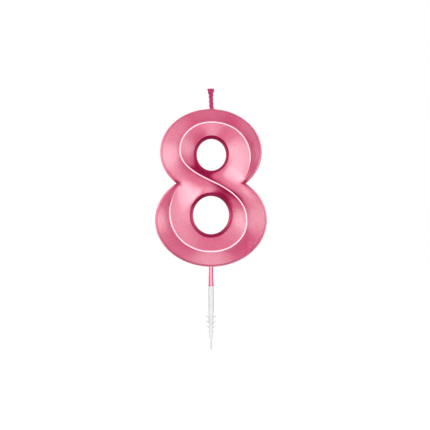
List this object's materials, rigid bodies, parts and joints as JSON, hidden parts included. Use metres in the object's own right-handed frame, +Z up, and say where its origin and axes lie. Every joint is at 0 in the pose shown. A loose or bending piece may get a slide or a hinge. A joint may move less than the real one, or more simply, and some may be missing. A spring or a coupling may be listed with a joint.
{
  "type": "number birthday candle",
  "caption": "Chiselled figure-eight wax candle with a twisted wick, on a stem that plugs into a barbed cake pick.",
  "frame": {"origin": "on the pick's axis, at the level of the cake's surface when the pick is pushed in", "axes": "+Z up along the pick, stem and wick; the numeral's front face looks along -Y; +X to the right of the front view"},
  "size_m": [0.0496, 0.014, 0.1168],
  "materials": {
    "pearl_wax": "satin metallic-pink lacquer over moulded wax, fine pearl grain",
    "wick_cotton": "matt twisted cotton, dyed and waxed pink",
    "stem_lacquer": "glossy metallic-pink lacquer over plastic",
    "pick_plastic": "semi-gloss white moulded plastic, slightly translucent"
  },
  "bodies": {
    "pick": {"cake_pick": "pick_plastic"},
    "candle": {"numeral_body": "pearl_wax", "wick_ply_1": "wick_cotton", "wick_ply_2": "wick_cotton", "wick_ply_3": "wick_cotton", "stem": "stem_lacquer"}
  },
  "joints": [
    {"name": "candle_pull", "type": "slide", "parent": "pick", "child": "candle", "axis": [0, 0, 1], "range_m": [0, 0.012]}
  ]
}
